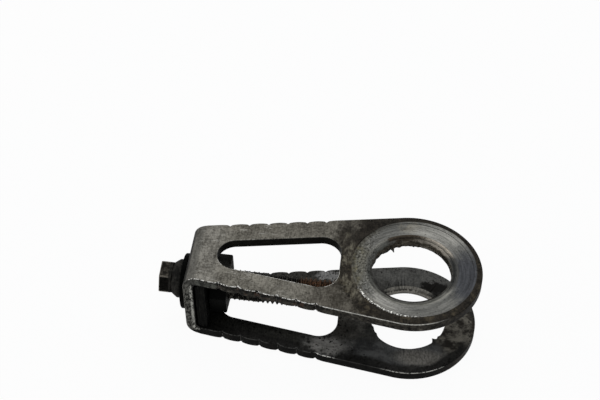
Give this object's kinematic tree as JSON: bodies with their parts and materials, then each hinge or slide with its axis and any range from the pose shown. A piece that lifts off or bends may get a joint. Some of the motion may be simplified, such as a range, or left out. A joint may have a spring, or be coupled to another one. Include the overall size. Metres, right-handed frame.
{
  "type": "chain adjuster",
  "caption": "Motorcycle chain adjuster: a folded steel fork with an axle bore, tapered windows and index notches, holding a captive hex screw with its washer, thrust plate and lock nut.",
  "frame": {"origin": "centre of the axle bore, midway between the outer faces of the legs", "axes": "+X from the web towards the round end, +Z along the axle bore out of the upper leg, so the screw lies towards -X"},
  "size_m": [0.0836, 0.036, 0.0224],
  "materials": {
    "strap_steel": "worn and oily, bright where the axle washer has turned",
    "plate_steel": "dark and oily",
    "washer_steel": "dark and oily",
    "screw_steel": "dark and oily, brown on the thread",
    "nut_steel": "dark and oily"
  },
  "bodies": {
    "frame": {"fork": "strap_steel", "thrust_plate": "plate_steel", "web_washer": "washer_steel"},
    "screw": {"adjusting_screw": "screw_steel", "lock_nut": "nut_steel"}
  },
  "joints": [
    {"name": "screw_turn", "type": "hinge", "parent": "frame", "child": "screw", "pos_m": [-0.0563, 0, -0.00033], "axis": [0.999, 0, -0.0436], "continuous": true}
  ]
}
